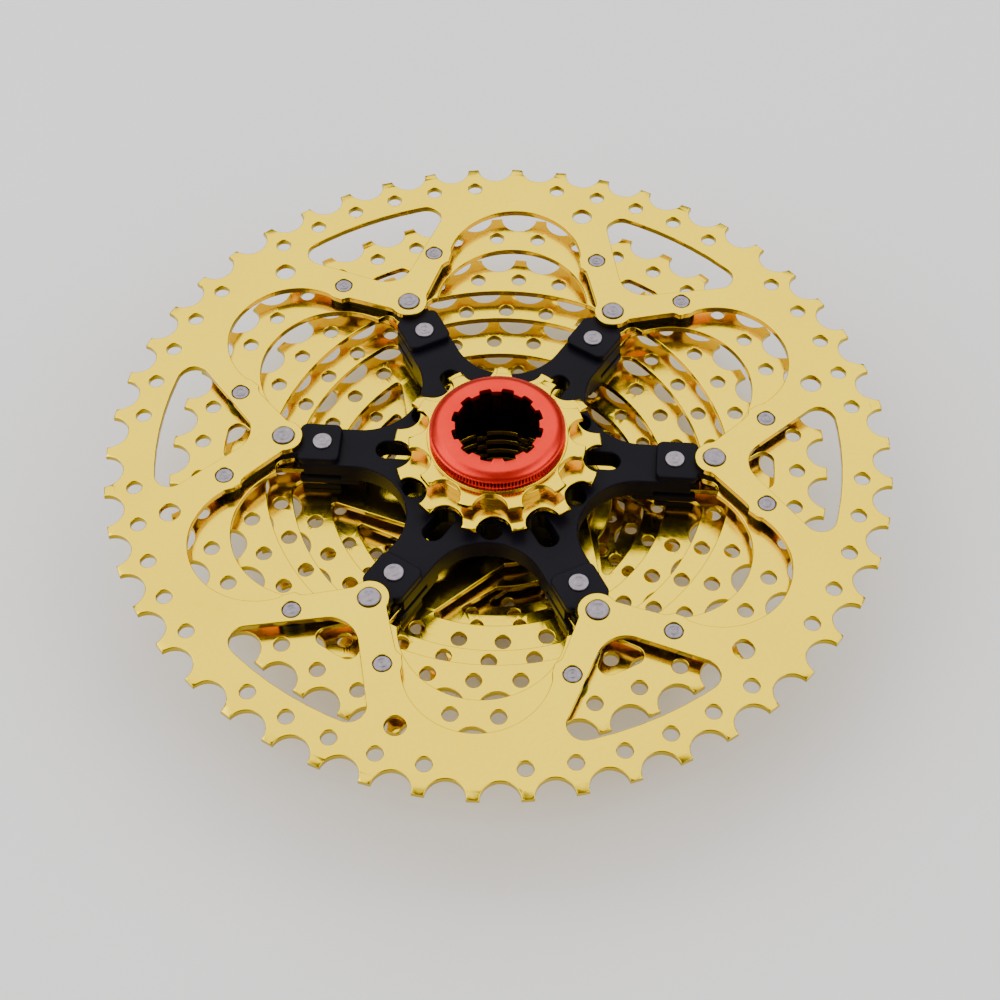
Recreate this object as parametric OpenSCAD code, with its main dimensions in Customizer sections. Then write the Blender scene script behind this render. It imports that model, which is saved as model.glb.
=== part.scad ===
// Eleven-speed bicycle cassette, 11 to 50 teeth, lying on its small end.
// The largest sprocket is on top. The two smallest cogs and the lockring are
// loose and stacked on the middle of the spider, as they are packed.
// +Z is the cassette's axis. The origin is at the middle of the resting face.

/* [Chain] */
// Chain pitch, pin to pin
chain_pitch = 12.7; // [12.6:0.1:12.8]
// Depth of the tooth gaps below the pitch circle
gap_depth = 4.05; // [4:0.05:4.2]
// Tooth tips above the pitch circle on the large sprockets
tip_rise_large = 0.8; // [0.5:0.1:1]
// Tooth tips above the pitch circle on the small cogs
tip_rise_small = 0.5; // [0.3:0.1:0.8]

/* [Stack] */
// Thickness of each steel sprocket
plate_t = 1.8; // [1.6:0.1:1.9]
// Distance from one sprocket to the next
stack_pitch = 4; // [3.9:0.1:4.1]
// Direction of the spider's first arm, in degrees
first_arm = 54.9; // [0:0.1:60]

/* [Holes in the sprockets] */
// Radius of the round hole under each tooth
tooth_hole_r = 1.95; // [1.5:0.05:2.1]
// How far inside the pitch circle those holes lie
tooth_hole_drop = 7; // [6.6:0.1:7.4]
// Radius of those holes in the three sprockets below the 28-tooth one
low_hole_r = 1.65; // [1.4:0.05:1.7]
// How far inside the pitch circle they lie there
low_hole_drop = 6; // [5.8:0.1:6.3]
// Radius of the six larger holes in the largest sprocket
large_hole_r = 2.65; // [2:0.05:3]
// Distance of the six larger holes from the axis
large_hole_at = 85.8; // [85:0.1:86.2]
// Turn of the six larger holes from the arms, in degrees
large_hole_turn = 17.9; // [17.5:0.1:18.3]

/* [Spider] */
// Half the width of an arm
arm_half_w = 6.2; // [5.8:0.1:6.6]
// Radius of the web half way between two arms
web_r = 27.8; // [27.4:0.1:28.6]
// Rivets that hold the two largest sprockets: distance from the axis
nose_at = 56.2; // [56:0.1:56.4]
// Rivets that hold the next two sprockets: distance from the axis
pad_at = 46.1; // [46:0.1:46.4]
// Rivets in the legs of the largest sprocket: distance from the axis
leg_at = 71; // [70.8:0.1:71.2]
// Turn of the leg rivets from the arm, in degrees
leg_turn = 11.2; // [11:0.1:11.4]
// Width of the slot in each arm
arm_slot_w = 5.4; // [4.6:0.1:5.8]

/* [Freehub spline] */
// Radius of the sprocket bores
bore_r = 17.4; // [17.3:0.05:17.5]
// Radius at the inner end of the spline keys
key_r = 16.25; // [16.1:0.05:16.4]
// Width of a spline key
key_w = 2.8; // [2.5:0.1:3]
// Width of the one narrow key
narrow_key_w = 1.9; // [1.6:0.1:2.2]

/* [Lockring] */
// Radius of the knurled flange
flange_r = 17.6; // [17.2:0.1:17.8]
// Height of the flange
flange_h = 4.3; // [4:0.1:4.6]
// Radius of the threaded shank
thread_r = 15.25; // [15:0.05:15.4]
// Length of the threaded shank
thread_l = 4.4; // [4:0.1:4.4]
// Radius of the hole between the tool notches
tool_r = 10.8; // [10.5:0.1:11]

/* [Hidden] */
$fn = 96;

gold = [0.88, 0.74, 0.40];
arms = 6;
arm_step = 360 / arms;
first_gap = first_arm - arm_step / 2;
through = 0.5;

// Heights of the sprockets' lower faces, smallest fixed sprocket first
z_15t = 0;
z_18t = stack_pitch;
z_21t = 2 * stack_pitch;
z_24t = 3 * stack_pitch;
z_28t = 4 * stack_pitch;
z_32t = 5 * stack_pitch;
z_36t = 6 * stack_pitch;
z_42t = 7 * stack_pitch;
z_50t = 8 * stack_pitch;
gap_h = stack_pitch - plate_t;

// Spider levels: the pads touch the largest sprocket, the arms lie lower
pad_top = z_50t;
arm_top = pad_top - 2;
web_bottom = arm_top - 6.2;
pad_in = 41.3;
pad_out = 52.4;
under_pad_out = 50.6;
step_out = 52;
nose_step_out = 52.9;
// Direction and length of a leg, from the nose rivet to the leg rivet
leg_lean = atan2(leg_at * sin(leg_turn), leg_at * cos(leg_turn) - nose_at);
leg_l = norm([leg_at * cos(leg_turn) - nose_at, leg_at * sin(leg_turn)]);
arm_body_out = 40.5;
barrel_r = 21.5;
slot_from = 24;
slot_to = 29.3;
web_hole_r = 2.8;
web_hole_at = 24;
nose_r = 5;

// Loose pieces on the spider
collar_h = 2.2;
z_13t = arm_top + collar_h;
z_11t = z_13t + plate_t + collar_h;
z_flange = z_11t + plate_t + 0.6;

// Rivets run in holes this much wider than themselves
rivet_gap = 0.05;
nose_rivet_r = 2;
nose_head_r = 2.75;
leg_rivet_r = 1.75;
leg_head_r = 2.2;
pad_rivet_r = 2;
pad_head_r = 2.6;
pin_r = 1.25;
pin_at = 21.3;
pin_head_r = 1.9;

function pitch_r(teeth) = chain_pitch / (2 * sin(180 / teeth));
function on_ring(r, angle) = r * [cos(angle), sin(angle)];
function tip_rise(teeth) = teeth > 20 ? tip_rise_large : tip_rise_small;
// The eight teeth of the largest sprocket that are shift gates have no hole
function is_gate(tooth) = len([for (i = [0:7]) if (round(5 + 6.25 * i) == tooth) i]) > 0;
// How many degrees a direction is from the nearest arm
function off_arm(angle) = let (a = (angle - first_arm + 720) % arm_step) min(a, arm_step - a);

// ---- Shapes shared by the sprockets ----

// A round blank with a gap cut between every two teeth, centred on the tip circle
module toothed_disc(teeth, phase) {
    tip_r = pitch_r(teeth) + tip_rise(teeth);
    gap_r = gap_depth + tip_rise(teeth);
    difference() {
        circle(r = tip_r, $fn = 200);
        for (k = [0:teeth - 1]) rotate(phase + (k + 0.5) * 360 / teeth)
            translate([tip_r, 0]) circle(r = gap_r, $fn = 64);
    }
}

module tooth_holes(teeth, phase, drop = tooth_hole_drop, r = tooth_hole_r,
                   keep_gates = false, off_arms = 0) {
    for (k = [0:teeth - 1]) {
        angle = phase + k * 360 / teeth;
        if (!(keep_gates && is_gate(k)) && off_arm(angle) >= off_arms)
            rotate(angle) translate([pitch_r(teeth) - drop, 0]) circle(r = r, $fn = 32);
    }
}

// Nine-key bore that slides over the freehub body
module spline_bore() {
    difference() {
        circle(r = bore_r);
        for (k = [0:8]) rotate(first_gap + k * 40)
            translate([key_r, -(k == 0 ? narrow_key_w : key_w) / 2])
                square([bore_r - key_r + 1, k == 0 ? narrow_key_w : key_w]);
    }
}

// Round the outer corners of a cut, which are the inner corners of the plate
module soften(r) {
    offset(r = r) offset(delta = -r) children();
}

// Everything along the two legs of an arm, with +X from the nose rivet to the leg rivet
module along_legs() {
    for (side = [-1, 1]) translate([nose_at, 0]) rotate(side * leg_lean) children();
}

// Solid web that carries one rivet nose, with the arm along +X
module nose_web(leg_w, lobe_r) {
    translate([nose_at, 0]) circle(r = nose_r, $fn = 48);
    along_legs() {
        translate([0, -leg_w / 2]) square([leg_l + leg_w / 2, leg_w]);
        if (lobe_r > 0) translate([leg_l, 0]) circle(r = lobe_r, $fn = 48);
    }
}

// The open middle of a sprocket on V-shaped arms: six scallops less the webs
module scalloped_cut(scallop_at, scallop_r, inner_r, leg_w, lobe_r) {
    soften(2.5) difference() {
        union() {
            circle(r = inner_r);
            for (k = [0:arms - 1]) rotate(first_gap + k * arm_step)
                translate([scallop_at, 0]) circle(r = scallop_r);
        }
        for (k = [0:arms - 1]) rotate(first_arm + k * arm_step) nose_web(leg_w, lobe_r);
    }
}

// Windows between the legs of the arms. They lean more on one side than the other.
module arm_windows(tip_at, top_r, lean_low, lean_high, corner_r, tip_corner_r) {
    reach = 2 * (top_r - tip_at);
    soften(corner_r) for (k = [0:arms - 1]) rotate(first_arm + k * arm_step) intersection() {
        circle(r = top_r);
        soften(tip_corner_r) polygon([[tip_at, 0], [tip_at + reach, -reach * lean_high],
                                      [tip_at + reach, reach * lean_low]]);
    }
}

// The open middle of a sprocket that is carried on six straight noses
module spoked_cut(ring_r) {
    soften(4) difference() {
        circle(r = ring_r);
        for (k = [0:arms - 1]) rotate(first_arm + k * arm_step) {
            translate([pad_at, 0]) circle(r = nose_r, $fn = 48);
            translate([pad_at, -nose_r]) square([ring_r - pad_at + 3, 2 * nose_r]);
        }
    }
}

// Swept windows of the cluster sprockets, between two rings. The angles of the corners
// are measured from the middle of the gap between two arms.
module swept_windows(inner_r, outer_r, inner_from, outer_from, outer_to, inner_to) {
    beyond = on_ring(1.3 * outer_r, (outer_from + outer_to) / 2);
    for (k = [0:arms - 1]) rotate(first_gap + k * arm_step) soften(1.2) difference() {
        intersection() {
            circle(r = outer_r);
            polygon([on_ring(inner_r, inner_from), on_ring(outer_r, outer_from), beyond,
                     on_ring(outer_r, outer_to), on_ring(inner_r, inner_to)]);
        }
        circle(r = inner_r);
    }
}

module at_arms(r) {
    for (k = [0:arms - 1]) rotate(first_arm + k * arm_step) translate([r, 0]) children();
}

module at_legs() {
    for (k = [0:arms - 1], side = [-1, 1])
        rotate(first_arm + k * arm_step + side * leg_turn) translate([leg_at, 0]) children();
}

module at_pins() {
    for (k = [0:2]) rotate(first_gap + k * 120) translate([pin_at, 0]) children();
}

module plate(z) {
    color(gold) translate([0, 0, z]) linear_extrude(plate_t) children();
}

// A rivet with a flat head at each end, its shank from z = 0 to length
module rivet(shank_r, length, head_r, top_h, foot_r, foot_h) {
    translate([0, 0, -foot_h]) cylinder(r = foot_r, h = foot_h);
    cylinder(r = shank_r, h = length);
    translate([0, 0, length]) cylinder(r = head_r, h = top_h);
}

// ---- Sprockets on the spider ----

module sprocket_50t() {
    phase = 6.65;
    color(gold) translate([0, 0, z_50t]) difference() {
        linear_extrude(plate_t) difference() {
            toothed_disc(50, phase);
            scalloped_cut(66.3, 18.4, 67, 7.5, 4.9);
            tooth_holes(50, phase, keep_gates = true);
            arm_windows(62.2, 89, 0.93, 1.15, 4.2, 7.5);
            for (k = [0:arms - 1]) rotate(first_arm + large_hole_turn + k * arm_step)
                translate([large_hole_at, 0]) circle(r = large_hole_r);
            at_arms(nose_at) circle(r = nose_rivet_r + rivet_gap);
            at_legs() circle(r = leg_rivet_r + rivet_gap);
        }
        translate([0, 0, plate_t - 0.4]) at_arms(nose_at) cylinder(r = nose_head_r + 0.2, h = 1);
        translate([0, 0, plate_t - 0.6]) at_legs() cylinder(r = leg_head_r + 0.15, h = 1);
    }
}

module sprocket_42t() {
    phase = 3.55;
    plate(z_42t) difference() {
        toothed_disc(42, phase);
        scalloped_cut(52.5, 20.9, 58, 6, 0);
        tooth_holes(42, phase);
        arm_windows(61, 72, 0.75, 0.85, 2.6, 2.6);
        at_arms(nose_at) circle(r = nose_rivet_r + rivet_gap);
        at_legs() circle(r = leg_rivet_r + rivet_gap);
    }
}

module sprocket_36t() {
    phase = 3.95;
    plate(z_36t) difference() {
        toothed_disc(36, phase);
        spoked_cut(61.2);
        tooth_holes(36, phase);
        at_arms(pad_at) circle(r = pad_rivet_r + rivet_gap);
    }
}

module sprocket_32t() {
    phase = 8.05;
    plate(z_32t) difference() {
        toothed_disc(32, phase);
        spoked_cut(54.6);
        tooth_holes(32, phase);
        at_arms(pad_at) circle(r = pad_rivet_r + rivet_gap);
    }
}

// ---- Cluster of smaller sprockets below the spider, held by three pins ----

module cluster_disc(teeth, phase) {
    difference() {
        toothed_disc(teeth, phase);
        spline_bore();
        at_pins() circle(r = pin_r + rivet_gap);
    }
}

module sprocket_28t() {
    phase = 0.4;
    plate(z_28t) difference() {
        cluster_disc(28, phase);
        swept_windows(26.1, 44.9, 7.7, -18.7, 24.3, 42);
        tooth_holes(28, phase, off_arms = 8);
        at_arms(pad_at) circle(r = pad_rivet_r + rivet_gap);
    }
}

module sprocket_24t() {
    phase = 6.55;
    plate(z_24t) difference() {
        cluster_disc(24, phase);
        swept_windows(30.6, 39.2, 3.4, -12, 27, 36);
        tooth_holes(24, phase, low_hole_drop, low_hole_r);
    }
}

module sprocket_21t() {
    phase = 1;
    plate(z_21t) difference() {
        cluster_disc(21, phase);
        swept_windows(28.6, 34, 9, -3, 34, 40);
        tooth_holes(21, phase, low_hole_drop, low_hole_r);
    }
}

module sprocket_18t() {
    phase = 13.5;
    plate(z_18t) difference() {
        cluster_disc(18, phase);
        tooth_holes(18, phase, low_hole_drop, low_hole_r);
    }
}

module sprocket_15t() {
    color(gold) translate([0, 0, z_15t]) difference() {
        linear_extrude(plate_t) cluster_disc(15, 2);
        translate([0, 0, -through]) at_pins() cylinder(r = pin_head_r + 0.1, h = through + 0.7);
    }
}

module cluster_spacer(z, outer_r) {
    color([0.13, 0.13, 0.15]) translate([0, 0, z]) linear_extrude(gap_h) difference() {
        circle(r = outer_r);
        circle(r = bore_r + 0.1);
        at_pins() circle(r = pin_r + rivet_gap);
    }
}

module spacer_28_24() { cluster_spacer(z_24t + plate_t, 25); }
module spacer_24_21() { cluster_spacer(z_21t + plate_t, 24.6); }
module spacer_21_18() { cluster_spacer(z_18t + plate_t, 24.2); }
module spacer_18_15() { cluster_spacer(z_15t + plate_t, 23.8); }

module cluster_pins() {
    color("lightgray") at_pins() {
        cylinder(r = pin_r, h = z_28t + plate_t);
        cylinder(r = pin_head_r, h = 0.7);
    }
}

// ---- Spider ----

// Top view of the web and the arms, out to radius reach
module star(reach) {
    // The scallop circles nearly touch the sides of the arms
    scallop_at = 2 * (web_r - arm_half_w);
    scallop_r = scallop_at - web_r + 0.05;
    difference() {
        circle(r = scallop_at * cos(arm_step / 2) + 0.1);
        for (k = [0:arms - 1]) rotate(first_gap + k * arm_step)
            translate([scallop_at, 0]) circle(r = scallop_r);
    }
    for (k = [0:arms - 1]) rotate(first_arm + k * arm_step)
        translate([barrel_r, -arm_half_w]) square([reach - barrel_r, 2 * arm_half_w]);
}

// Block on each arm between two radii and two heights
module arm_block(from, to, z_low, z_high, half_w = arm_half_w) {
    for (k = [0:arms - 1]) rotate(first_arm + k * arm_step)
        translate([from, -half_w, z_low]) cube([to - from, 2 * half_w, z_high - z_low]);
}

// Raised pad with rounded corners, and the rivet nose in front of it
module pad_outline() {
    tongue_w = 8.6;
    soften(2) translate([pad_in, -arm_half_w + 0.2])
        square([pad_out - pad_in, 2 * arm_half_w - 0.4]);
    translate([pad_out - 4, -tongue_w / 2]) square([6, tongue_w]);
    translate([nose_at, 0]) circle(r = nose_r - 0.1, $fn = 48);
}

module spider() {
    color([0.12, 0.12, 0.15]) difference() {
        union() {
            // Web and arms
            translate([0, 0, web_bottom]) linear_extrude(arm_top - web_bottom) star(arm_body_out);
            // Lower steps between the 36-tooth and the 32-tooth sprocket
            arm_block(arm_body_out - 5, arm_body_out - 0.5, z_32t + plate_t, arm_top - 1, arm_half_w - 0.3);
            arm_block(arm_body_out - 1, step_out, z_32t + plate_t, z_36t, arm_half_w - 0.3);
            // Blocks under the pads and the noses, down to the 36-tooth sprocket
            arm_block(arm_body_out - 1, under_pad_out, z_36t + plate_t, arm_top, arm_half_w - 0.1);
            arm_block(under_pad_out - 2, nose_step_out, z_36t + plate_t, z_42t, nose_r - 0.5);
            // Pads, as high as the gap between the two largest sprockets
            translate([0, 0, z_42t + plate_t]) linear_extrude(gap_h) at_arms(0) pad_outline();
            // Barrel round the freehub bore
            translate([0, 0, z_28t + plate_t]) cylinder(r = barrel_r, h = arm_top - z_28t - plate_t - 0.5);
        }
        translate([0, 0, -through]) linear_extrude(pad_top + 1) spline_bore();
        // Slot in each arm and hole in the web between arms
        translate([0, 0, z_28t]) linear_extrude(pad_top) at_arms(0) {
            translate([slot_from, 0]) circle(r = arm_slot_w / 2);
            translate([slot_to, 0]) circle(r = arm_slot_w / 2);
            translate([slot_from, -arm_slot_w / 2]) square([slot_to - slot_from, arm_slot_w]);
        }
        for (k = [0:arms - 1]) rotate(first_gap + k * arm_step)
            translate([web_hole_at, 0, web_bottom - 1]) cylinder(r = web_hole_r, h = 20);
        translate([0, 0, z_28t]) at_arms(nose_at) cylinder(r = nose_rivet_r + rivet_gap, h = 40);
        translate([0, 0, z_28t]) at_arms(pad_at) cylinder(r = pad_rivet_r + rivet_gap, h = 40);
    }
}

// ---- Rivets and spacers ----

module nose_rivets() {
    color("silver") translate([0, 0, z_42t]) at_arms(nose_at)
        rivet(nose_rivet_r, z_50t + plate_t - 0.4 - z_42t, nose_head_r, 0.75, 3, 0.7);
}

module leg_rivets() {
    color("silver") translate([0, 0, z_42t]) at_legs()
        rivet(leg_rivet_r, z_50t + plate_t - 0.6 - z_42t, leg_head_r, 0.5, 2.6, 0.6);
}

// Strips under the legs of the largest sprocket, one at each leg rivet
module leg_spacers() {
    strip_w = 5.6;
    strip_from = nose_r + 0.4;
    color([0.12, 0.12, 0.15]) translate([0, 0, z_42t + plate_t]) linear_extrude(gap_h) difference() {
        at_arms(0) along_legs() {
            translate([strip_from, -strip_w / 2]) square([leg_l - strip_from, strip_w]);
            translate([leg_l, 0]) circle(r = 3.9, $fn = 48);
        }
        at_legs() circle(r = leg_rivet_r + rivet_gap);
    }
}

module pad_rivets() {
    color("silver") translate([0, 0, z_28t]) at_arms(pad_at)
        rivet(pad_rivet_r, pad_top - z_28t, pad_head_r, 0.5, 3, 0.7);
}

// Steps between the 32-tooth and the 28-tooth sprocket, one under each arm
module step_spacers() {
    color([0.12, 0.12, 0.15]) difference() {
        arm_block(arm_body_out + 1, step_out, z_28t + plate_t, z_32t, nose_r);
        translate([0, 0, z_28t]) at_arms(pad_at) cylinder(r = pad_rivet_r + rivet_gap, h = 10);
    }
}

// ---- Loose cogs and lockring ----

module loose_cog(teeth, phase, z, collar_r, boss_h) {
    color(gold) difference() {
        union() {
            translate([0, 0, z]) linear_extrude(plate_t) toothed_disc(teeth, phase);
            translate([0, 0, z - collar_h]) cylinder(r = collar_r, h = collar_h);
            if (boss_h > 0) translate([0, 0, z + plate_t]) cylinder(r = 18.3, h = boss_h);
        }
        translate([0, 0, z - collar_h - through]) linear_extrude(20) spline_bore();
    }
}

module cog_13t() { loose_cog(13, 3.97, z_13t, 20.8, 0); }
module cog_11t() { loose_cog(11, 19, z_11t, 19, 0.6); }

module lockring() {
    face_r = 14.6;
    knurl_from = 0.3;
    knurl_to = 2.8;
    color([0.85, 0.25, 0.22]) translate([0, 0, z_flange]) difference() {
        rotate_extrude() polygon([[0, -thread_l], [thread_r, -thread_l], [thread_r, 0],
                                  [flange_r - 0.4, 0], [flange_r, knurl_from], [flange_r, knurl_to],
                                  [flange_r - 0.7, knurl_to + 0.5], [face_r, flange_h], [0, flange_h]]);
        translate([0, 0, -thread_l - through]) cylinder(r = tool_r, h = 12);
        for (k = [0:11]) rotate(15 + k * 30) translate([tool_r - 0.65, 0, -thread_l - through])
            cylinder(r = 1.7, h = 12);
    }
}

sprocket_50t();
sprocket_42t();
sprocket_36t();
sprocket_32t();
sprocket_28t();
sprocket_24t();
sprocket_21t();
sprocket_18t();
sprocket_15t();
spider();
nose_rivets();
leg_rivets();
leg_spacers();
pad_rivets();
step_spacers();
spacer_28_24();
spacer_24_21();
spacer_21_18();
spacer_18_15();
cluster_pins();
cog_13t();
cog_11t();
lockring();
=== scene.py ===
import math

import bmesh
import bpy
import numpy as np
from mathutils import Matrix, Vector
from mathutils.geometry import delaunay_2d_cdt

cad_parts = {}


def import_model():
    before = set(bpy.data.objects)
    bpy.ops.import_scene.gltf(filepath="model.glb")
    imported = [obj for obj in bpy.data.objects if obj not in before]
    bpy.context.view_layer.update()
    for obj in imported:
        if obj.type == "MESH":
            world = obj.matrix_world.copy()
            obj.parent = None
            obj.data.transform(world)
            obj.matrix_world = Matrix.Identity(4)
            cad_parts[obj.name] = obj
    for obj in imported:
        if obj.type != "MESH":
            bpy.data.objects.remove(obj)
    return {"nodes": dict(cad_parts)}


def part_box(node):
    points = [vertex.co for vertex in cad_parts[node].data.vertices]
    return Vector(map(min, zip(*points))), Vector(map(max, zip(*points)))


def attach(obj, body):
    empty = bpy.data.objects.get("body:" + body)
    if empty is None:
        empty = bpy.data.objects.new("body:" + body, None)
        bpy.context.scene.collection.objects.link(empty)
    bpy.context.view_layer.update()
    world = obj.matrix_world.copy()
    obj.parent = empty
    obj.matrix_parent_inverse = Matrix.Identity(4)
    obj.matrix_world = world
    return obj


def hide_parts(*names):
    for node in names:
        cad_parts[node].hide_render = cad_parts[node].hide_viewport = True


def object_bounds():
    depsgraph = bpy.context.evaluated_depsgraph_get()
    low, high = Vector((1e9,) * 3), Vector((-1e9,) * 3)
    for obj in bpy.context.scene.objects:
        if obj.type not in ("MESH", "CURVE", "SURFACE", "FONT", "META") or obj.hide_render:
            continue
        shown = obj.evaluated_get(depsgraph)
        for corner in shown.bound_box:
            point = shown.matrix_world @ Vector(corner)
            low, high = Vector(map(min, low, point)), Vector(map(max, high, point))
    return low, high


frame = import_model()
cad_low, cad_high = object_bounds()

# Lengths are millimetres, except in the materials and the stage, which use metres.
# finish_piece scales each mesh to metres.
MM = 0.001
TAU = 2 * math.pi
# A length this small is zero
TINY = 1e-6
# Points closer than this are one point
WELD = 1e-4
# How far a CAD point may lie off a level and still belong to it
LEVEL_GAP = 0.01
# Least upward part of the normal of a level face
LEVEL_NORMAL = 0.9
# Extra points of a face stay this far from its border
BORDER_GAP = 0.25


def top_of(node):
    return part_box(node)[1].z / MM


def bottom_of(node):
    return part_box(node)[0].z / MM


# ---------------------------------------------------------------- materials

class Nodes:
    """Short hand for building a node material."""

    def __init__(self, name):
        self.material = bpy.data.materials.new(name)
        self.material.use_nodes = True
        self.tree = self.material.node_tree
        self.shader = self.tree.nodes["Principled BSDF"]

    def add(self, kind, **settings):
        node = self.tree.nodes.new(kind)
        for key, value in settings.items():
            setattr(node, key, value)
        return node

    def link(self, output, target):
        self.tree.links.new(output, target)

    def place(self):
        """Coordinates fixed to the part, in metres."""
        return self.add("ShaderNodeTexCoord").outputs["Object"]

    def upright(self):
        """1 on faces square to the axis, 0 on walls along it."""
        parts = self.add("ShaderNodeSeparateXYZ")
        self.link(self.add("ShaderNodeTexCoord").outputs["Normal"], parts.inputs["Vector"])
        node = self.add("ShaderNodeMath", operation="ABSOLUTE")
        self.link(parts.outputs["Z"], node.inputs[0])
        return node.outputs["Value"]

    def height_and_radius(self):
        """Height of a point and its distance from the axis, in metres."""
        parts = self.add("ShaderNodeSeparateXYZ")
        self.link(self.place(), parts.inputs["Vector"])
        flat = self.add("ShaderNodeVectorMath", operation="MULTIPLY")
        flat.inputs[1].default_value = (1, 1, 0)
        self.link(self.place(), flat.inputs[0])
        length = self.add("ShaderNodeVectorMath", operation="LENGTH")
        self.link(flat.outputs["Vector"], length.inputs[0])
        return parts.outputs["Z"], length.outputs["Value"]

    def noise(self, scale, detail=3.0, stretch=None):
        node = self.add("ShaderNodeTexNoise")
        node.inputs["Scale"].default_value = scale
        node.inputs["Detail"].default_value = detail
        vector = self.place()
        if stretch:
            mapping = self.add("ShaderNodeMapping")
            mapping.inputs["Scale"].default_value = stretch
            self.link(vector, mapping.inputs["Vector"])
            vector = mapping.outputs["Vector"]
        self.link(vector, node.inputs["Vector"])
        return node.outputs["Fac"]

    def ramp(self, factor, *stops):
        """A colour ramp with (position, colour) stops."""
        node = self.add("ShaderNodeValToRGB")
        elements = node.color_ramp.elements
        while len(elements) < len(stops):
            elements.new(0.5)
        for element, (at, colour) in zip(elements, stops):
            element.position = at
            element.color = (*colour, 1)
        self.link(factor, node.inputs["Fac"])
        return node.outputs["Color"]

    def span(self, factor, low, high, from_low=0.3, from_high=0.7):
        """Maps the factor's range onto low to high."""
        node = self.add("ShaderNodeMapRange")
        node.inputs["From Min"].default_value = from_low
        node.inputs["From Max"].default_value = from_high
        node.inputs["To Min"].default_value = low
        node.inputs["To Max"].default_value = high
        self.link(factor, node.inputs["Value"])
        return node.outputs["Result"]

    def times(self, a, b):
        node = self.add("ShaderNodeMath", operation="MULTIPLY")
        self.link(a, node.inputs[0])
        self.link(b, node.inputs[1])
        return node.outputs["Value"]

    def mix(self, factor, a, b):
        """Colour a where the factor is 0, colour b where it is 1."""
        node = self.add("ShaderNodeMix", data_type="RGBA")
        self.link(factor, node.inputs["Factor"])
        for socket, value in (("A", a), ("B", b)):
            target = [i for i in node.inputs if i.name == socket and i.type == "RGBA"][0]
            if isinstance(value, tuple):
                target.default_value = (*value, 1)
            else:
                self.link(value, target)
        return [o for o in node.outputs if o.type == "RGBA"][0]

    def bump(self, height, distance, strength=1.0, normal=None):
        node = self.add("ShaderNodeBump")
        node.inputs["Strength"].default_value = strength
        node.inputs["Distance"].default_value = distance
        self.link(height, node.inputs["Height"])
        if normal is not None:
            self.link(normal, node.inputs["Normal"])
        return node.outputs["Normal"]


def gold_plating():
    m = Nodes("gold_plating")
    cloud = m.noise(scale=35.0, detail=4.0)
    fine = m.noise(scale=900.0)
    roll = m.noise(scale=160.0, detail=2.0, stretch=(1.0, 14.0, 1.0))
    face = m.ramp(cloud, (0.30, (0.86, 0.610, 0.002)), (0.70, (0.89, 0.645, 0.006)))
    # The edge colour is painted shade for the walls along the axis
    edge = m.ramp(cloud, (0.30, (0.42, 0.290, 0.001)), (0.70, (0.50, 0.350, 0.002)))
    # Walls along the axis get a darker colour than the faces: painted shade, since the walls catch
    # little light
    is_face = m.span(m.upright(), low=0.0, high=1.0, from_low=0.35, from_high=0.75)
    m.link(m.mix(is_face, edge, face), m.shader.inputs["Base Color"])
    m.shader.inputs["Metallic"].default_value = 1.0
    m.link(m.span(fine, low=0.13, high=0.20), m.shader.inputs["Roughness"])
    waves = m.bump(m.noise(scale=55.0, detail=2.0), distance=0.00006, strength=0.35)
    grain = m.bump(roll, distance=0.00001, strength=0.45, normal=waves)
    m.link(grain, m.shader.inputs["Normal"])
    return m.material


def black_anodised():
    m = Nodes("black_anodised")
    speckle = m.noise(scale=2500.0)
    cloud = m.noise(scale=60.0)
    colour = m.ramp(cloud, (0.3, (0.0042, 0.0036, 0.0066)), (0.7, (0.0066, 0.0056, 0.0100)))
    m.link(colour, m.shader.inputs["Base Color"])
    m.shader.inputs["Metallic"].default_value = 0.0
    m.shader.inputs["Specular IOR Level"].default_value = 0.08
    m.link(m.span(speckle, low=0.34, high=0.46), m.shader.inputs["Roughness"])
    m.link(m.bump(speckle, distance=0.00001, strength=0.35), m.shader.inputs["Normal"])
    return m.material


def red_anodised():
    m = Nodes("red_anodised")
    speckle = m.noise(scale=1800.0)
    cloud = m.noise(scale=90.0)
    colour = m.ramp(cloud, (0.3, (0.70, 0.020, 0.012)), (0.7, (0.78, 0.032, 0.020)))
    height, radius = m.height_and_radius()
    # The bore wall below the face is painted nearly black: painted shade inside the opening
    shade_below_face = m.span(height, low=1.0, high=0.0, from_low=0.0412, from_high=0.0422)
    shade_inside_bore = m.span(radius, low=1.0, high=0.0, from_low=0.0122, from_high=0.0126)
    colour = m.mix(m.times(shade_below_face, shade_inside_bore), colour, (0.030, 0.006, 0.005))
    # The valleys of the knurl are painted darker than its ridges: painted shade in the grooves
    knurl_valley_shade = m.span(radius, low=1.0, high=0.0, from_low=0.0169, from_high=0.0174)
    above = m.span(height, low=0.0, high=1.0, from_low=0.0380, from_high=0.0382)
    below = m.span(height, low=1.0, high=0.0, from_low=0.0404, from_high=0.0407)
    colour = m.mix(m.times(m.times(above, below), knurl_valley_shade), colour, (0.060, 0.004, 0.003))
    m.link(colour, m.shader.inputs["Base Color"])
    m.shader.inputs["Metallic"].default_value = 0.96
    m.link(m.span(speckle, low=0.30, high=0.40), m.shader.inputs["Roughness"])
    m.link(m.bump(speckle, distance=0.000008, strength=0.4), m.shader.inputs["Normal"])
    return m.material


def rivet_steel():
    m = Nodes("rivet_steel")
    cloud = m.noise(scale=900.0, detail=4.0)
    fine = m.noise(scale=3500.0, detail=2.0)
    colour = m.ramp(cloud, (0.3, (0.19, 0.17, 0.19)), (0.7, (0.32, 0.29, 0.33)))
    m.link(colour, m.shader.inputs["Base Color"])
    m.shader.inputs["Metallic"].default_value = 1.0
    m.link(m.span(cloud, low=0.26, high=0.44), m.shader.inputs["Roughness"])
    m.link(m.bump(fine, distance=0.00001, strength=0.5), m.shader.inputs["Normal"])
    return m.material


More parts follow.
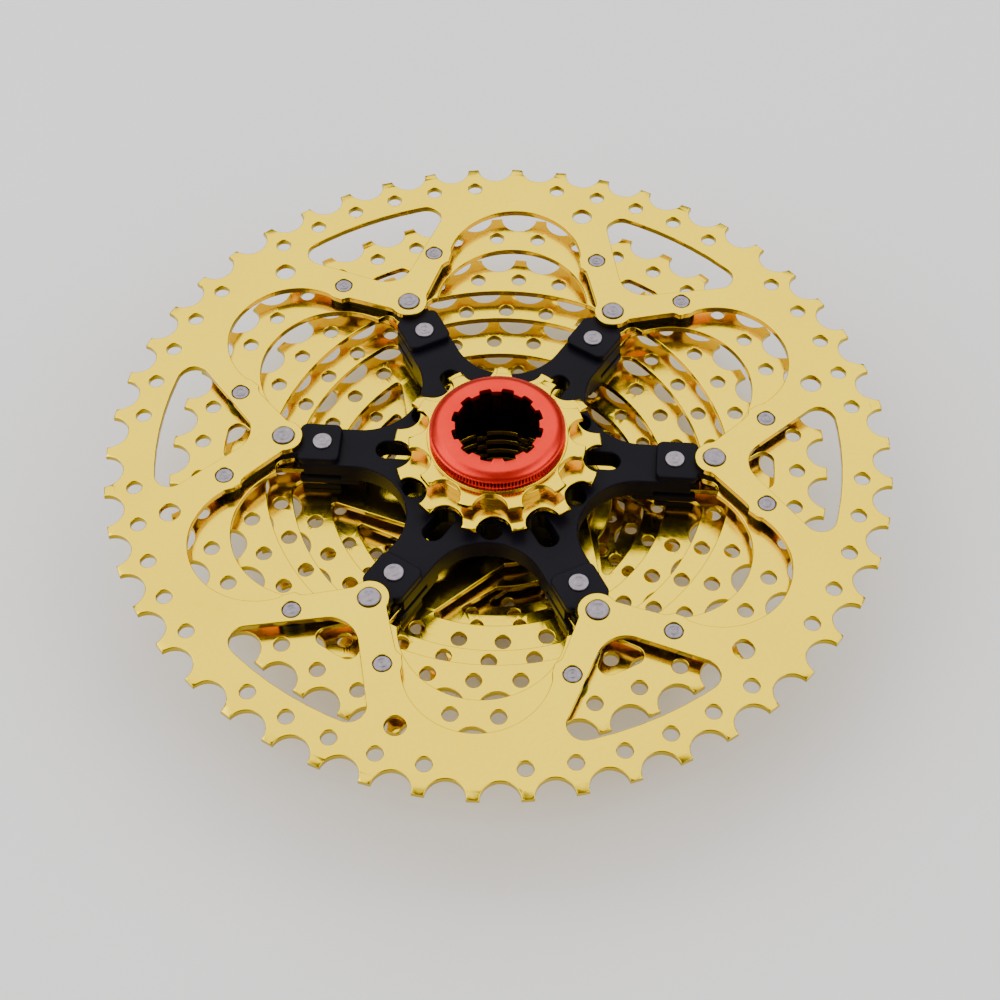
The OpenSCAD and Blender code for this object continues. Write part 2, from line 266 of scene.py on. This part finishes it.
GOLD = gold_plating()
BLACK = black_anodised()
RED = red_anodised()
STEEL = rivet_steel()


# ---------------------------------------------------------------- mesh helpers

def finish_piece(name, bm, material, body, nodes, smooth_angle=35):
    """Turns a bmesh in millimetres into a shown piece that rides on a body."""
    bmesh.ops.remove_doubles(bm, verts=bm.verts, dist=WELD)
    bmesh.ops.recalc_face_normals(bm, faces=bm.faces)
    bmesh.ops.scale(bm, vec=(MM, MM, MM), verts=bm.verts)
    for face in bm.faces:
        face.smooth = True
    limit = math.radians(smooth_angle)
    for edge in bm.edges:
        edge.smooth = len(edge.link_faces) == 2 and edge.calc_face_angle(0) < limit
    mesh = bpy.data.meshes.new(name)
    bm.to_mesh(mesh)
    bm.free()
    mesh.materials.append(material)
    piece = bpy.data.objects.new(name, mesh)
    bpy.context.scene.collection.objects.link(piece)
    modifier = piece.modifiers.new("weighted", "WEIGHTED_NORMAL")
    modifier.keep_sharp = True
    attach(piece, body)
    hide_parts(*nodes)


def flat_loops(node, z):
    """Closed outlines of a CAD node's upward faces at height z, the longest first."""
    mesh = frame["nodes"][node].data
    points = []
    index = {}
    edges = {}
    names = []
    for vertex in mesh.vertices:
        key = tuple(round(c / MM, 3) for c in vertex.co)
        if key not in index:
            index[key] = len(points)
            points.append(Vector(vertex.co) / MM)
        names.append(index[key])
    for face in mesh.polygons:
        corners = [names[v] for v in face.vertices]
        level = all(abs(points[c].z - z) < LEVEL_GAP for c in corners)
        if not level or face.normal.z < LEVEL_NORMAL or len(set(corners)) < 3:
            continue
        for a, b in zip(corners, corners[1:] + corners[:1]):
            edges[(a, b)] = edges.get((a, b), 0) + 1
    rim = {a: b for (a, b) in edges if (b, a) not in edges}
    loops = []
    while rim:
        start, at = rim.popitem()
        loop = [start]
        while at != start:
            loop.append(at)
            at = rim.pop(at)
        loops.append([points[i].xy for i in loop])
    return sorted(loops, key=lambda loop: -abs(loop_area(loop)))


def loop_area(loop):
    return sum(a.x * b.y - a.y * b.x for a, b in zip(loop, loop[1:] + loop[:1])) / 2


def thin_out(loop, step=0.02):
    """Drops points that are closer together than step."""
    kept = [loop[0]]
    for p in loop[1:]:
        if (p - kept[-1]).length > step:
            kept.append(p)
    if (kept[0] - kept[-1]).length <= step:
        kept.pop()
    return kept


def relax(loop, low_r, high_r, passes):
    """Rounds the corners of a loop where it runs between two radii."""
    for _ in range(passes):
        after = loop[1:] + loop[:1]
        before = loop[-1:] + loop[:-1]
        loop = [(a + 2 * p + b) / 4 if low_r < p.length < high_r else p
                for a, p, b in zip(before, loop, after)]
    return loop


def inset(loop, distance):
    """The loop moved into the material, which lies on its left."""
    moved = []
    count = len(loop)
    least_spread = 0.45
    for i, p in enumerate(loop):
        before = (p - loop[i - 1]).normalized()
        after = (loop[(i + 1) % count] - p).normalized()
        left = Vector((-before.y - after.y, before.x + after.x))
        if left.length < TINY:
            left = Vector((-after.y, after.x))
        left.normalize()
        spread = max(least_spread, left.dot(Vector((-after.y, after.x))))
        moved.append(p + left * (distance / spread))
    return moved


def plate_mesh(loops, z_low, z_high, edge=0.26, steps=3, low_edge=None, lower_top=None,
               crease_at=None, extra=()):
    """A closed plate with rounded edges. The first loop is the outline, the others are holes.
    lower_top(point) says how far the upper face drops there; crease_at is the radius it starts;
    extra are points that the upper face should pass through."""
    bm = bmesh.new()
    low = edge if low_edge is None else low_edge
    loops = [thin_out(loop) for loop in loops]
    loops = [loop if (loop_area(loop) > 0) == (n == 0) else loop[::-1]
             for n, loop in enumerate(loops)]
    angles = [i * math.pi / 2 / steps for i in range(steps + 1)]
    rings = [(low * (1 - math.sin(a)), z_low + low * (1 - math.cos(a))) for a in angles]
    rings += [(edge * (1 - math.sin(a)), z_high - edge * (1 - math.cos(a)))
              for a in reversed(angles)]
    caps = {0: [], len(rings) - 1: []}
    for loop in loops:
        previous = None
        for level, (distance, z) in enumerate(rings):
            line = inset(loop, distance) if distance > TINY else loop
            row = []
            for p in line:
                drop = lower_top(p) if lower_top and level > steps else 0
                row.append(bm.verts.new((p.x, p.y, z - drop)))
            if previous:
                for i in range(len(row)):
                    j = (i + 1) % len(row)
                    bm.faces.new((previous[i], previous[j], row[j], row[i]))
            if level in caps:
                caps[level].append(row)
            previous = row
    for level, rows in caps.items():
        borders = []
        at = 0
        for row in rows:
            borders += [(at + i, at + (i + 1) % len(row)) for i in range(len(row))]
            at += len(row)
        if crease_at and level:
            borders += tooth_creases([v.co.xy for v in rows[0]], crease_at)
        verts = [v for row in rows for v in row]
        if extra and level:
            rims = [np.array([v.co.xy[:] for v in row]) for row in rows]
            inside = inside_all(rims, np.array([p[:] for p in extra]))
            for p, keep in zip(extra, inside):
                if keep and all(np.hypot(*(rim - p[:]).T).min() > BORDER_GAP for rim in rims):
                    verts.append(bm.verts.new((p.x, p.y, z_high - lower_top(p))))
        fill_cap(bm, verts, borders, rows, bool(level))
    return bm


def fill_cap(bm, verts, borders, rows, upward):
    """Triangles between the outline and the holes."""
    same_point = 1e-7
    points, _, tris, origins, _, _ = delaunay_2d_cdt([v.co.xy for v in verts], borders, [], 0,
                                                     same_point)
    tris = [tri for tri in tris if all(origins[i] for i in tri)]
    flat = np.array([p[:] for p in points])
    centres = flat[np.array(tris)].mean(axis=1)
    loops = [np.array([v.co.xy[:] for v in row]) for row in rows]
    for tri, keep in zip(tris, inside_all(loops, centres)):
        if keep:
            corners = [verts[origins[i][0]] for i in tri]
            bm.faces.new(corners if upward else corners[::-1])


def inside_all(loops, points):
    """Even-odd test of many points against closed loops: one true or false each."""
    odd = np.zeros(len(points), bool)
    x, y = points[:, :1], points[:, 1:]
    for loop in loops:
        ax, ay = loop[:, 0], loop[:, 1]
        bx, by = np.roll(ax, -1), np.roll(ay, -1)
        spans = (ay > y) != (by > y)
        rise = np.where(by == ay, 1.0, by - ay)
        left = x < ax + (y - ay) / rise * (bx - ax)
        odd ^= (np.count_nonzero(spans & left, axis=1) % 2).astype(bool)
    return odd


def lathe(profile, segments=96, centre=(0, 0)):
    """A closed ring or disc from (radius, z) points; a radius may be a function of the angle."""
    bm = bmesh.new()
    columns = []
    for s in range(segments):
        angle = TAU * s / segments
        column = []
        for radius, z in profile:
            r = radius(angle) if callable(radius) else radius
            column.append(bm.verts.new((centre[0] + r * math.cos(angle),
                                        centre[1] + r * math.sin(angle), z)))
        columns.append(column)
    closed = callable(profile[0][0]) or profile[0][0] > TINY
    last = len(profile) if closed else len(profile) - 1
    for s in range(segments):
        here, there = columns[s], columns[(s + 1) % segments]
        for i in range(last):
            j = (i + 1) % len(profile)
            bm.faces.new((here[i], there[i], there[j], here[j]))
    return bm


def merge(*parts):
    """One bmesh from several."""
    whole = bmesh.new()
    for part in parts:
        mesh = bpy.data.meshes.new("part")
        part.to_mesh(mesh)
        part.free()
        whole.from_mesh(mesh)
        bpy.data.meshes.remove(mesh)
    return whole


# ---------------------------------------------------------------- outlines

ARMS = 6
FIRST_ARM = math.radians(54.9)
ARM_STEP = TAU / ARMS
# Plate thickness of every sprocket
PLATE = 1.8


def ease(share):
    """0 to 1 with soft ends."""
    return share * share * (3 - 2 * share)


def polar(radius, angle):
    return Vector((radius * math.cos(angle), radius * math.sin(angle)))


def circle(radius, centre=Vector((0, 0)), count=64):
    return [centre + polar(radius, TAU * i / count) for i in range(count)]


def arc(centre, radius, start, stop, count):
    return [centre + polar(radius, start + (stop - start) * i / count) for i in range(count + 1)]


def turned(points, angle):
    turn = Matrix.Rotation(angle, 2)
    return [turn @ p for p in points]


def arm_angle(k):
    return FIRST_ARM + k * ARM_STEP


def rounded_box(x0, x1, half_w, corner, count=6):
    """A rectangle along +X with rounded corners."""
    spots = [(x1 - corner, half_w - corner, 0), (x0 + corner, half_w - corner, 1),
             (x0 + corner, corner - half_w, 2), (x1 - corner, corner - half_w, 3)]
    points = []
    for x, y, quarter in spots:
        points += arc(Vector((x, y)), corner, quarter * TAU / 4, (quarter + 1) * TAU / 4, count)
    return points


def slot_outline(x0, x1, half_w, count=12):
    return (arc(Vector((x1, 0)), half_w, -TAU / 4, TAU / 4, count)
            + arc(Vector((x0, 0)), half_w, TAU / 4, 3 * TAU / 4, count))


def spline_outline():
    """The keyed bore, taken from the smallest fixed sprocket."""
    loops = flat_loops("sprocket_15t", top_of("sprocket_15t"))
    return min(loops[1:], key=lambda loop: abs(sum(loop, Vector((0, 0))).length / len(loop)))


BORE = spline_outline()


# ---------------------------------------------------------------- sprockets

FIXED = [50, 42, 36, 32, 28, 24, 21, 18, 15]
CHAIN_PITCH = 12.7
# Direction of the first tooth of each sprocket, in degrees
PHASES = {50: 6.65, 42: 3.55, 36: 3.95, 32: 8.05, 28: 0.4, 24: 6.55, 21: 1, 18: 13.5, 15: 2,
          13: 3.97, 11: 19}
# Teeth next to the eight shift gates of the largest sprocket
GATES = [math.floor(5 + 6.25 * i + 0.5) for i in range(8)]
# Round pressed areas next to the gates: distance from the axis, turn, radius, rim width, depth
DIMPLE_AT = 96.3
DIMPLE_TURN = 2.2
DIMPLE_R = 8.6
DIMPLE_SLOPE = 1.2
DIMPLE_DEPTH = 0.07
# The tips' facets start this far inside the pitch circle
FACET_DROP_LARGE = 1.6
FACET_DROP_SMALL = 1.2
# Slope of the facets along the radius, and across three teeth in turn
FACET_SLOPE_LARGE = 0.13
FACET_SLOPE_SMALL = 0.17
FACET_LEANS_LARGE = (0.02, 0.09, -0.07)
FACET_LEANS_SMALL = (0.0, 0.16, -0.13)
FACET_DEPTHS = (0.02, 0.95)
FACET_START = 0.05


def pitch_radius(teeth):
    return CHAIN_PITCH / 2 / math.sin(math.pi / teeth)


def tooth_relief(teeth):
    """How far the upper face drops on the teeth: a flat facet at the tip, turned a little."""
    large = teeth > 13
    base = pitch_radius(teeth) - (FACET_DROP_LARGE if large else FACET_DROP_SMALL)
    slope = FACET_SLOPE_LARGE if large else FACET_SLOPE_SMALL
    leans = FACET_LEANS_LARGE if large else FACET_LEANS_SMALL
    least, most = FACET_DEPTHS
    phase = math.radians(PHASES[teeth])

    def drop(p):
        beyond = p.length - base
        if beyond < FACET_START:
            return 0.0
        step = TAU / teeth
        number = round((math.atan2(p.y, p.x) - phase) / step)
        side = p.length * math.sin(math.atan2(p.y, p.x) - phase - number * step)
        return min(most, max(least, slope * beyond + leans[number % 3] * side))

    return base, drop


def tooth_creases(loop, base):
    """Pairs of outline points on the two sides of each tooth at the facet's edge."""
    crossings = []
    count = len(loop)
    for i in range(count):
        a, b = loop[i].length - base, loop[(i + 1) % count].length - base
        if (a < 0) != (b < 0):
            crossings.append((i if a < 0 else (i + 1) % count, a < 0))
    if crossings and not crossings[0][1]:
        crossings = crossings[1:] + crossings[:1]
    return [(crossings[i][0], crossings[i + 1][0]) for i in range(0, len(crossings) - 1, 2)]


def gate_dimples():
    """Round pressed areas next to the shift gates: how far they drop, and points on their rims."""
    step = TAU / 50
    turn = math.radians(PHASES[50] + DIMPLE_TURN)
    centres = [polar(DIMPLE_AT, turn + number * step) for number in GATES]
    rim_circles = 5

    def drop(p):
        near = min((p - centre).length for centre in centres)
        share = min(1.0, max(0.0, (DIMPLE_R - near) / DIMPLE_SLOPE))
        return DIMPLE_DEPTH * ease(share)

    rims = []
    for centre in centres:
        for i in range(rim_circles):
            rims += circle(DIMPLE_R - DIMPLE_SLOPE * i / (rim_circles - 1), centre, 72)
    return drop, rims


def toothed_plate(teeth, loops, z_low, z_high):
    base, facet = tooth_relief(teeth)
    if teeth != 50:
        return plate_mesh(loops, z_low, z_high, lower_top=facet, crease_at=base)
    dimple, rims = gate_dimples()
    return plate_mesh(loops, z_low, z_high, lower_top=lambda p: facet(p) + dimple(p),
                      crease_at=base, extra=rims)


def fixed_sprocket(teeth):
    node = f"sprocket_{teeth}t"
    z = top_of(node)
    loops = flat_loops(node, z)
    if teeth == 50:
        # The legs run smoothly into the scallops next to their rivets
        loops[1] = relax(loops[1], low_r=62.5, high_r=69.5, passes=8)
    bm = toothed_plate(teeth, loops, z - PLATE, z)
    finish_piece(f"{node}_plate", bm, GOLD, "cassette", [node])


def loose_cog(teeth, plate_top, collar_r, boss_r=None):
    """The toothed plate on its collar, with a low boss where it has one."""
    node = f"cog_{teeth}t"
    overlap = 0.3
    plate_low = plate_top - PLATE
    outline = flat_loops(node, plate_top)[0]
    parts = [toothed_plate(teeth, [outline, BORE], plate_low, plate_top),
             plate_mesh([circle(collar_r, count=96), BORE], bottom_of(node), plate_low + overlap,
                        edge=0.25)]
    if boss_r:
        parts.append(plate_mesh([circle(boss_r, count=96), BORE], plate_top - overlap,
                                top_of(node), edge=0.2))
    finish_piece(f"{node}_body", merge(*parts), GOLD, node, [node])


# ---------------------------------------------------------------- spider

ARM_HALF_W = 6.2
# Scallops between the arms: distance from the axis and radius
SCALLOP_AT = 43.2
SCALLOP_R = 15.4
# Where an arm's straight side meets the scallops, with a little overlap
SIDE_FROM = SCALLOP_AT * math.cos(ARM_STEP / 2) + 0.6
SLOT_FROM = 24
SLOT_TO = 29.3
SLOT_HALF_W = 2.7
WEB_HOLE_AT = 24
WEB_HOLE_R = 2.8


def star_loops(arm_end):
    """Web and arms seen from above, with the bore, the slots and the round holes."""
    outline = []
    holes = [BORE]
    for k in range(ARMS):
        here = arm_angle(k)
        gap = here + ARM_STEP / 2
        outline += turned([Vector((arm_end, -ARM_HALF_W)), Vector((arm_end, ARM_HALF_W)),
                           Vector((SIDE_FROM, ARM_HALF_W))], here)
        outline += arc(polar(SCALLOP_AT, gap), SCALLOP_R, gap + TAU / 2 + ARM_STEP,
                       gap + TAU / 2 - ARM_STEP, 40)
        outline += turned([Vector((SIDE_FROM, -ARM_HALF_W))], here + ARM_STEP)
        holes.append(turned(slot_outline(SLOT_FROM, SLOT_TO, SLOT_HALF_W), here))
        holes.append(circle(WEB_HOLE_R, polar(WEB_HOLE_AT, gap), 32))
    return [outline] + holes


def spider():
    """Star-shaped web with raised pads, rivet noses and steps under the arms."""
    arm_top = 30.0
    split = 25.8
    web_low = 23.8
    pad_top = 32.0
    overlap = 0.2
    upper = plate_mesh(star_loops(arm_end=50.6), split, arm_top, edge=0.45, low_edge=0.04)
    lower = plate_mesh(star_loops(arm_end=40.9), web_low, split + 0.1, edge=0.03, low_edge=0.35)
    barrel = plate_mesh([circle(21.5, count=120), BORE], 17.8, 29.5)
    parts = [upper, lower, barrel]
    least_pad_area = 50
    for loop in flat_loops("spider", pad_top):
        if abs(loop_area(loop)) > least_pad_area:
            parts.append(plate_mesh([loop], 29.82, pad_top, edge=0.5, low_edge=0.05))
    lower_step = rounded_box(35.5, 52.0, ARM_HALF_W - 0.1, 0.8)
    nose_step = rounded_box(47.0, 52.9, 4.5, 0.8)
    for k in range(ARMS):
        here = arm_angle(k)
        parts.append(plate_mesh([turned(lower_step, here)], 21.8, web_low + overlap))
        parts.append(plate_mesh([turned(nose_step, here)], split, 28.0))
    finish_piece("spider_body", merge(*parts), BLACK, "cassette", ["spider"])


def leg_spacers():
    """Strips under the legs of the largest sprocket."""
    low = bottom_of("leg_spacers")
    top = top_of("leg_spacers")
    least_strip_area = 20
    parts = [plate_mesh([loop], low, top, edge=0.15)
             for loop in flat_loops("leg_spacers", top) if abs(loop_area(loop)) > least_strip_area]
    finish_piece("leg_spacer_strips", merge(*parts), BLACK, "cassette", ["leg_spacers"])


def step_spacers():
    low = bottom_of("step_spacers")
    high = top_of("step_spacers")
    block = rounded_box(41.5, 52.0, 5.0, 0.8)
    parts = [plate_mesh([turned(block, arm_angle(k))], low, high, edge=0.3) for k in range(ARMS)]
    finish_piece("step_spacer_blocks", merge(*parts), BLACK, "cassette", ["step_spacers"])


# ---------------------------------------------------------------- rivets, pins and spacers

def rivet_profile(node, head_r, seat_r, seat_top):
    """Flat pressed head with a rounded rim, ring marks and a seat round it."""
    top = top_of(node)
    bottom = bottom_of(node)
    mark = top - 0.05
    return [(0, top - 0.06), (head_r * 0.18, mark), (head_r * 0.24, top),
            (head_r * 0.42, top), (head_r * 0.46, mark), (head_r * 0.54, mark),
            (head_r * 0.58, top), (head_r - 0.35, top),
            (head_r - 0.12, top - 0.06), (head_r - 0.02, top - 0.18), (head_r, top - 0.34),
            (head_r, seat_top), (seat_r, seat_top), (seat_r, bottom), (0, bottom)]


def rivets(node, spots, head_r, seat_r, seat_top):
    profile = rivet_profile(node, head_r, seat_r, seat_top)
    parts = [lathe(profile, 48, spot) for spot in spots]
    finish_piece(f"{node}_heads", merge(*parts), STEEL, "cassette", [node])


NOSE_RIVET_AT = 56.2
PAD_RIVET_AT = 46.1
LEG_RIVET_AT = 71
LEG_RIVET_TURN = math.radians(11.2)


def all_rivets():
    noses = [polar(NOSE_RIVET_AT, arm_angle(k)) for k in range(ARMS)]
    pads = [polar(PAD_RIVET_AT, arm_angle(k)) for k in range(ARMS)]
    legs = [polar(LEG_RIVET_AT, arm_angle(k) + side * LEG_RIVET_TURN)
            for k in range(ARMS) for side in (-1, 1)]
    rivets("nose_rivets", noses, head_r=2.75, seat_r=2.94, seat_top=33.0)
    rivets("leg_rivets", legs, head_r=2.2, seat_r=2.34, seat_top=32.9)
    rivets("pad_rivets", pads, head_r=2.55, seat_r=2.6, seat_top=32.0)


def ring_spacers():
    bore_r = 17.5
    for node in ("spacer_28_24", "spacer_24_21", "spacer_21_18", "spacer_18_15"):
        outer_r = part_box(node)[1].x / MM
        bm = plate_mesh([circle(outer_r, count=120), circle(bore_r, count=96)], bottom_of(node),
                        top_of(node), edge=0.25)
        finish_piece(f"{node}_ring", bm, BLACK, "cassette", [node])


def cluster_pins():
    pins = 3
    pins_at = 21.3
    head_r = 1.85
    shank_r = 1.25
    low = bottom_of("cluster_pins")
    high = top_of("cluster_pins")
    profile = [(0, low), (head_r - 0.25, low), (head_r, low + 0.2), (head_r, low + 0.7),
               (shank_r, low + 0.72), (shank_r, high - 0.25), (shank_r - 0.25, high), (0, high)]
    first = FIRST_ARM - ARM_STEP / 2
    parts = [lathe(profile, 32, polar(pins_at, first + k * TAU / pins)) for k in range(pins)]
    finish_piece("cluster_pin_set", merge(*parts), STEEL, "cassette", ["cluster_pins"])


# ---------------------------------------------------------------- lockring

NOTCHES = 12
FIRST_NOTCH = math.radians(15)
RIDGES = 120
OPENING_R = 10.8
NOTCH_DEPTH = 1.05
RIM_R = 17.6
FLANGE_H = 4.3


def opening(extra):
    """Radius of the tool opening with its notches, as a function of the angle."""
    widening = 0.10
    steepness = 2.2

    def radius(angle):
        wave = math.cos(NOTCHES * (angle - FIRST_NOTCH))
        share = min(1.0, max(0.0, (wave + widening) * steepness + 0.5))
        return OPENING_R + NOTCH_DEPTH * ease(share) + extra
    return radius


def knurl(depth):
    """Radius of the rim with fine ridges, as a function of the angle."""
    def radius(angle):
        return RIM_R - depth * abs(((angle * RIDGES / TAU) % 1) * 2 - 1)
    return radius


def same(radius):
    return radius if callable(radius) else lambda angle: radius


def lockring():
    """Threaded shank, knurled rim, bevel and a tool opening with twelve notches."""
    low = bottom_of("lockring")
    high = top_of("lockring")
    seat = high - FLANGE_H
    crest_r = 15.2
    root_r = 14.7
    turns = 6
    pitch = (seat - low - 1.6) / turns
    profile = [(opening(0.3), low), (14.85, low), (crest_r, low + 0.4)]
    for i in range(turns):
        z = low + 0.6 + i * pitch
        profile += [(root_r, z), (crest_r, z + pitch * 0.5)]
    profile += [(14.8, seat - 0.8), (14.8, seat), (16.9, seat), (17.2, seat + 0.12),
                (knurl(0.1), seat + 0.3), (knurl(0.8), seat + 0.55), (knurl(0.8), seat + 2.35),
                (knurl(0.1), seat + 2.6), (17.15, seat + 2.75), (17.05, high - 1.25),
                (16.75, high - 0.85), (16.25, high - 0.50), (15.6, high - 0.20), (15.1, high - 0.03),
                (14.9, high), (opening(0.22), high),
                (opening(0.06), high - 0.07), (opening(0), high - 0.25), (opening(0), low + 0.3)]
    bm = lathe([(same(radius), z) for radius, z in profile], segments=RIDGES * 8)
    finish_piece("lockring_body", bm, RED, "lockring", ["lockring"], smooth_angle=28)


# ---------------------------------------------------------------- all pieces

for teeth in FIXED:
    fixed_sprocket(teeth)
loose_cog(13, plate_top=34.0, collar_r=20.8)
loose_cog(11, plate_top=38.0, collar_r=19.0, boss_r=18.3)
spider()
leg_spacers()
step_spacers()
all_rivets()
ring_spacers()
cluster_pins()
lockring()


# ---------------------------------------------------------------- stage and camera

CAMERA_AT = Vector((0.0, -301.2, 426.5)) * MM
CAMERA_RIGHT = Vector((0.9998, -0.0165, -0.0111))
CAMERA_UP = Vector((0.0199, 0.8102, 0.5858))
CAMERA_LENS = 68.485
# Point that the lights face, in metres
LIT_POINT = Vector((0, 0, 0.03))


def area_light(name, location, size, power):
    """A soft rectangular light that faces the part. Sizes are in metres."""
    data = bpy.data.lights.new(name, "AREA")
    data.shape = "RECTANGLE"
    data.size, data.size_y = size
    data.energy = power
    light = bpy.data.objects.new(name, data)
    light.location = location
    light.rotation_mode = "QUATERNION"
    light.rotation_quaternion = (LIT_POINT - Vector(location)).to_track_quat("-Z", "Y")
    bpy.context.scene.collection.objects.link(light)


def floor():
    m = Nodes("floor")
    cloud = m.noise(scale=3.0, detail=2.0)
    tone = m.ramp(cloud, (0.3, (0.90, 0.90, 0.91)), (0.7, (0.93, 0.93, 0.94)))
    m.link(tone, m.shader.inputs["Base Color"])
    m.shader.inputs["Roughness"].default_value = 0.6
    bm = bmesh.new()
    half = 3.0
    below_part = 0.0002
    corners = [bm.verts.new((x * half, y * half, cad_low.z - below_part))
               for x, y in ((-1, -1), (1, -1), (1, 1), (-1, 1))]
    bm.faces.new(corners)
    mesh = bpy.data.meshes.new("floor")
    bm.to_mesh(mesh)
    bm.free()
    mesh.materials.append(m.material)
    plane = bpy.data.objects.new("floor", mesh)
    bpy.context.scene.collection.objects.link(plane)


def camera():
    data = bpy.data.cameras.new("camera")
    data.lens = CAMERA_LENS
    data.sensor_width = 36
    data.clip_start = 0.01
    data.clip_end = 20
    view = bpy.data.objects.new("camera", data)
    right = CAMERA_RIGHT.normalized()
    up = CAMERA_UP.normalized()
    back = right.cross(up).normalized()
    up = back.cross(right)
    turn = Matrix((right, up, back)).transposed()
    view.matrix_world = Matrix.Translation(CAMERA_AT) @ turn.to_4x4()
    bpy.context.scene.collection.objects.link(view)
    bpy.context.scene.camera = view


def world():
    sky = bpy.data.worlds.new("studio")
    sky.use_nodes = True
    shade = sky.node_tree.nodes["Background"]
    shade.inputs["Color"].default_value = (1.0, 0.86, 0.74, 1)
    shade.inputs["Strength"].default_value = 0.24
    bpy.context.scene.world = sky


floor()
world()
camera()
area_light("back_soft", location=(0.0, 0.72, 1.08), size=(1.7, 1.25), power=13.5)
area_light("left_soft", location=(-0.9, -0.2, 0.8), size=(1.5, 1.2), power=14)
area_light("right_soft", location=(0.95, -0.3, 0.75), size=(1.3, 1.1), power=11)
